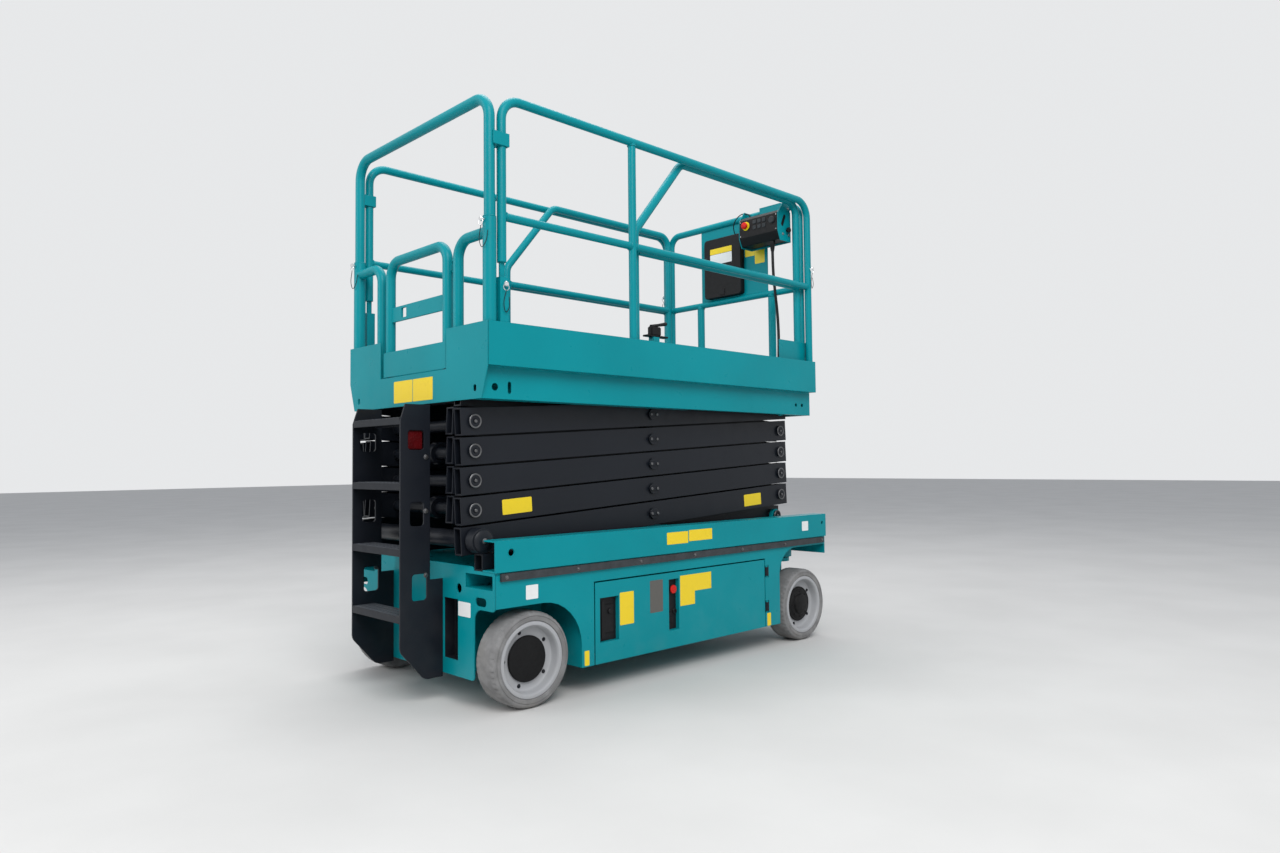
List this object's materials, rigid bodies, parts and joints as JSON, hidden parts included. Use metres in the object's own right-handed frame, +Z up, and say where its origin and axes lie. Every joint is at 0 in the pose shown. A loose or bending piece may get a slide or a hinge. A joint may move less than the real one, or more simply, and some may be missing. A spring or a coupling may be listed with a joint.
{
  "type": "electric scissor lift",
  "caption": "Slab electric scissor lift: wheeled chassis, crossed-arm lifting pack and railed platform with a gate and a sliding extension.",
  "frame": {"origin": "on the ground under the middle of the machine's length and width", "axes": "+X to the front (steered) end, +Y to the machine's left, +Z up"},
  "size_m": [2.421, 1.172, 2.449],
  "materials": {
    "tyre": "matte non-marking rubber",
    "rim": "painted, light grey",
    "teal_paint": "gloss powder coat",
    "dark_paint": "satin black",
    "scissor_paint": "satin blue-black",
    "strip": "dark grey",
    "battery": null,
    "machine_grey": "satin",
    "chrome": "hard chrome",
    "control_plastic": "satin",
    "black_plastic": "satin"
  },
  "bodies": {
    "chassis": {"chassis_frame": "teal_paint", "side_beams": "teal_paint", "guard_strips": "strip", "roller_tracks": "dark_paint", "rear_axle": "dark_paint", "front_axle": "teal_paint", "ladder": "dark_paint"},
    "knuckle_right": {"knuckle_right": "teal_paint"},
    "knuckle_left": {"knuckle_left": "teal_paint"},
    "tie_rod": {"tie_rod": "dark_paint"},
    "tray_right": {"tray_right": "teal_paint", "batteries": "battery"},
    "tray_left": {"tray_left": "teal_paint", "power_unit": "machine_grey"},
    "wheel_rear_right": {"tyre_rear_right": "tyre", "rim_rear_right": "rim"},
    "wheel_rear_left": {"tyre_rear_left": "tyre", "rim_rear_left": "rim"},
    "wheel_front_right": {"tyre_front_right": "tyre", "rim_front_right": "rim"},
    "wheel_front_left": {"tyre_front_left": "tyre", "rim_front_left": "rim"},
    "inner_1": {"inner_1": "scissor_paint"},
    "outer_1": {"outer_1": "scissor_paint"},
    "inner_2": {"inner_2": "scissor_paint"},
    "outer_2": {"outer_2": "scissor_paint"},
    "inner_3": {"inner_3": "scissor_paint"},
    "outer_3": {"outer_3": "scissor_paint"},
    "inner_4": {"inner_4": "scissor_paint"},
    "outer_4": {"outer_4": "scissor_paint"},
    "inner_5": {"inner_5": "scissor_paint"},
    "outer_5": {"outer_5": "scissor_paint"},
    "barrel_lower": {"barrel_lower": "scissor_paint"},
    "rod_lower": {"rod_lower": "chrome"},
    "barrel_upper": {"barrel_upper": "scissor_paint"},
    "rod_upper": {"rod_upper": "chrome"},
    "platform": {"platform_frame": "teal_paint", "platform_rails": "teal_paint", "rear_rails": "teal_paint"},
    "gate": {"gate": "teal_paint"},
    "extension": {"extension_deck": "teal_paint", "extension_rails": "teal_paint", "control_box": "control_plastic", "manual_box": "black_plastic", "control_cable": "black_plastic"}
  },
  "joints": [
    {"name": "lift", "type": "hinge", "parent": "chassis", "child": "inner_1", "pos_m": [0.9995, 0, 0.668], "axis": [0, 1, 0], "range_deg": [0, 61.84]},
    {"name": "arm_outer_1", "type": "hinge", "parent": "inner_1", "child": "outer_1", "pos_m": [-0.0055, 0, 0.727], "axis": [0, 1, 0], "range_deg": [-123.68, 0]},
    {"name": "arm_outer_2", "type": "hinge", "parent": "inner_1", "child": "outer_2", "pos_m": [-1.0105, 0, 0.786], "axis": [0, 1, 0], "range_deg": [-123.68, 0]},
    {"name": "arm_inner_2", "type": "hinge", "parent": "outer_2", "child": "inner_2", "pos_m": [-0.0055, 0, 0.845], "axis": [0, 1, 0], "range_deg": [0, 123.68]},
    {"name": "arm_inner_3", "type": "hinge", "parent": "outer_2", "child": "inner_3", "pos_m": [0.9995, 0, 0.904], "axis": [0, 1, 0], "range_deg": [0, 123.68]},
    {"name": "arm_outer_3", "type": "hinge", "parent": "inner_3", "child": "outer_3", "pos_m": [-0.0055, 0, 0.963], "axis": [0, 1, 0], "range_deg": [-123.68, 0]},
    {"name": "arm_outer_4", "type": "hinge", "parent": "inner_3", "child": "outer_4", "pos_m": [-1.0105, 0, 1.022], "axis": [0, 1, 0], "range_deg": [-123.68, 0]},
    {"name": "arm_inner_4", "type": "hinge", "parent": "outer_4", "child": "inner_4", "pos_m": [-0.0055, 0, 1.081], "axis": [0, 1, 0], "range_deg": [0, 123.68]},
    {"name": "arm_inner_5", "type": "hinge", "parent": "outer_4", "child": "inner_5", "pos_m": [0.9995, 0, 1.14], "axis": [0, 1, 0], "range_deg": [0, 123.68]},
    {"name": "arm_outer_5", "type": "hinge", "parent": "inner_5", "child": "outer_5", "pos_m": [-0.0055, 0, 1.199], "axis": [0, 1, 0], "range_deg": [-123.68, 0]},
    {"name": "platform_pivot", "type": "hinge", "parent": "outer_5", "child": "platform", "pos_m": [0.9995, 0, 1.258], "axis": [0, 1, 0], "range_deg": [0, 61.84]},
    {"name": "barrel_lower_pivot", "type": "hinge", "parent": "inner_1", "child": "barrel_lower", "pos_m": [-0.9301, 0, 0.78128], "axis": [0, 1, 0], "range_deg": [-129.69, 0]},
    {"name": "rod_lower_slide", "type": "slide", "parent": "barrel_lower", "child": "rod_lower", "axis": [0.9961, 0, 0.0877], "range_m": [0, 0.68091]},
    {"name": "barrel_upper_pivot", "type": "hinge", "parent": "inner_3", "child": "barrel_upper", "pos_m": [-0.9301, 0, 1.01728], "axis": [0, 1, 0], "range_deg": [-129.69, 0]},
    {"name": "rod_upper_slide", "type": "slide", "parent": "barrel_upper", "child": "rod_upper", "axis": [0.9961, 0, 0.0877], "range_m": [0, 0.68091]},
    {"name": "spin_rear_right", "type": "hinge", "parent": "chassis", "child": "wheel_rear_right", "pos_m": [-0.8315, -0.51, 0.1905], "axis": [0, 1, 0], "continuous": true},
    {"name": "spin_rear_left", "type": "hinge", "parent": "chassis", "child": "wheel_rear_left", "pos_m": [-0.8315, 0.51, 0.1905], "axis": [0, 1, 0], "continuous": true},
    {"name": "spin_front_right", "type": "hinge", "parent": "knuckle_right", "child": "wheel_front_right", "pos_m": [1.0105, -0.51, 0.1905], "axis": [0, 1, 0], "continuous": true},
    {"name": "spin_front_left", "type": "hinge", "parent": "knuckle_left", "child": "wheel_front_left", "pos_m": [1.0105, 0.51, 0.1905], "axis": [0, 1, 0], "continuous": true},
    {"name": "steer_right", "type": "hinge", "parent": "chassis", "child": "knuckle_right", "pos_m": [1.0105, -0.4, 0.4], "axis": [0, 0, 1], "range_deg": [-60, 60]},
    {"name": "steer_left", "type": "hinge", "parent": "chassis", "child": "knuckle_left", "pos_m": [1.0105, 0.4, 0.4], "axis": [0, 0, 1], "range_deg": [-60, 60]},
    {"name": "tie_rod_pivot", "type": "hinge", "parent": "knuckle_right", "child": "tie_rod", "pos_m": [0.8605, -0.4, 0.4], "axis": [0, 0, 1], "range_deg": [-60, 60]},
    {"name": "tray_right_hinge", "type": "hinge", "parent": "chassis", "child": "tray_right", "pos_m": [0.6795, -0.572, 0.3], "axis": [0, 0, 1], "range_deg": [0, 90]},
    {"name": "tray_left_hinge", "type": "hinge", "parent": "chassis", "child": "tray_left", "pos_m": [0.6795, 0.572, 0.3], "axis": [0, 0, -1], "range_deg": [0, 90]},
    {"name": "gate_hinge", "type": "hinge", "parent": "platform", "child": "gate", "pos_m": [-0.9885, -0.268, 1.6], "axis": [0, 0, -1], "range_deg": [0, 90]},
    {"name": "extension_slide", "type": "slide", "parent": "platform", "child": "extension", "axis": [1, 0, 0], "range_m": [0, 0.9]}
  ],
  "couplings": [
    {"joint": "arm_outer_1", "follows": "lift", "ratio": -2},
    {"joint": "arm_outer_2", "follows": "lift", "ratio": -2},
    {"joint": "arm_inner_2", "follows": "lift", "ratio": 2},
    {"joint": "arm_inner_3", "follows": "lift", "ratio": 2},
    {"joint": "arm_outer_3", "follows": "lift", "ratio": -2},
    {"joint": "arm_outer_4", "follows": "lift", "ratio": -2},
    {"joint": "arm_inner_4", "follows": "lift", "ratio": 2},
    {"joint": "arm_inner_5", "follows": "lift", "ratio": 2},
    {"joint": "arm_outer_5", "follows": "lift", "ratio": -2},
    {"joint": "platform_pivot", "follows": "lift", "ratio": 1},
    {"joint": "barrel_lower_pivot", "follows": "lift", "ratio": -2.0971},
    {"joint": "rod_lower_slide", "follows": "lift", "m_per_rad": 0.63078},
    {"joint": "barrel_upper_pivot", "follows": "lift", "ratio": -2.0971},
    {"joint": "rod_upper_slide", "follows": "lift", "m_per_rad": 0.63078},
    {"joint": "steer_left", "follows": "steer_right", "ratio": 1},
    {"joint": "tie_rod_pivot", "follows": "steer_right", "ratio": -1}
  ]
}
